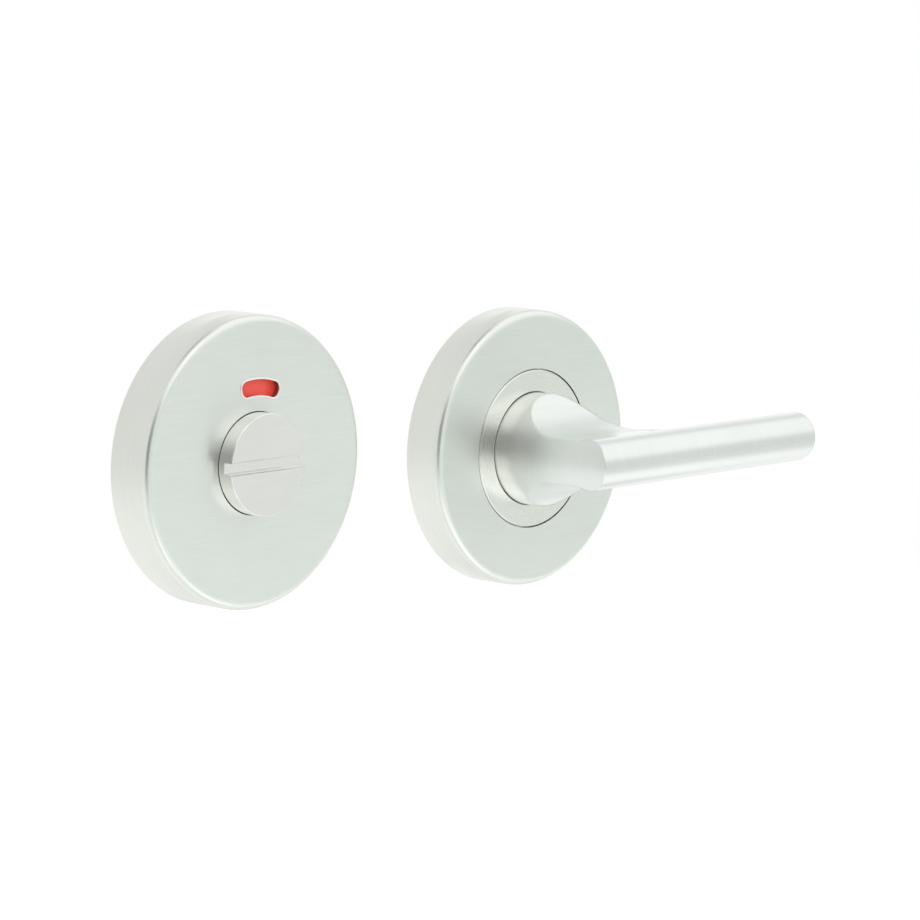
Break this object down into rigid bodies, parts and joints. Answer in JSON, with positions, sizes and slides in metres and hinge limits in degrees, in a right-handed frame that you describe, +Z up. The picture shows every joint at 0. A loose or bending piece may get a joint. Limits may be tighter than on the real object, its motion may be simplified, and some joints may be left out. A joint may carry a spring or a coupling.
{
  "type": "bathroom thumb turn lock",
  "caption": "Bathroom turn and release set: two round stainless roses, one with a scooped lever thumb turn, one with a coin release and a kidney indicator window.",
  "frame": {"origin": "centre of the release rose on the door plane, midway between its two screw holes", "axes": "+X runs from the release rose towards the turn rose and along the resting lever, +Y runs into the door out of both backs, +Z is up"},
  "size_m": [0.151, 0.0351, 0.0563],
  "materials": {
    "satin_stainless": "fine brushed satin",
    "zinc_plated_steel": "bright zinc plate",
    "carrier_nylon": "moulded, fine texture",
    "white_enamel": "semi-gloss",
    "red_enamel": "semi-gloss",
    "bush_acetal": "turned, satin",
    "spring_steel": "oiled, dark"
  },
  "bodies": {
    "root": {"release_cover": "satin_stainless", "release_fixing_plate": "zinc_plated_steel", "release_carrier": "carrier_nylon", "release_bush": "bush_acetal", "release_spring_washer": "spring_steel", "turn_cover": "satin_stainless", "turn_fixing_plate": "zinc_plated_steel", "turn_carrier": "carrier_nylon", "turn_collar": "satin_stainless", "turn_bush": "bush_acetal", "turn_spring_washer": "spring_steel"},
    "turn": {"turn_lever": "satin_stainless", "turn_thrust_washer": "spring_steel", "turn_retaining_ring": "spring_steel"},
    "release": {"release_knob": "satin_stainless", "indicator_disc": "white_enamel", "occupied_field": "red_enamel", "release_thrust_washer": "spring_steel", "release_retaining_ring": "spring_steel"}
  },
  "joints": [
    {"name": "turn_rotation", "type": "hinge", "parent": "root", "child": "turn", "pos_m": [0.0735, 0, -0.0043], "axis": [0, 1, 0], "range_deg": [0, 90]},
    {"name": "release_rotation", "type": "hinge", "parent": "root", "child": "release", "pos_m": [0, 0, 0], "axis": [0, 1, 0], "range_deg": [-90, 0]}
  ],
  "couplings": [
    {"joint": "release_rotation", "follows": "turn_rotation", "ratio": -1}
  ]
}
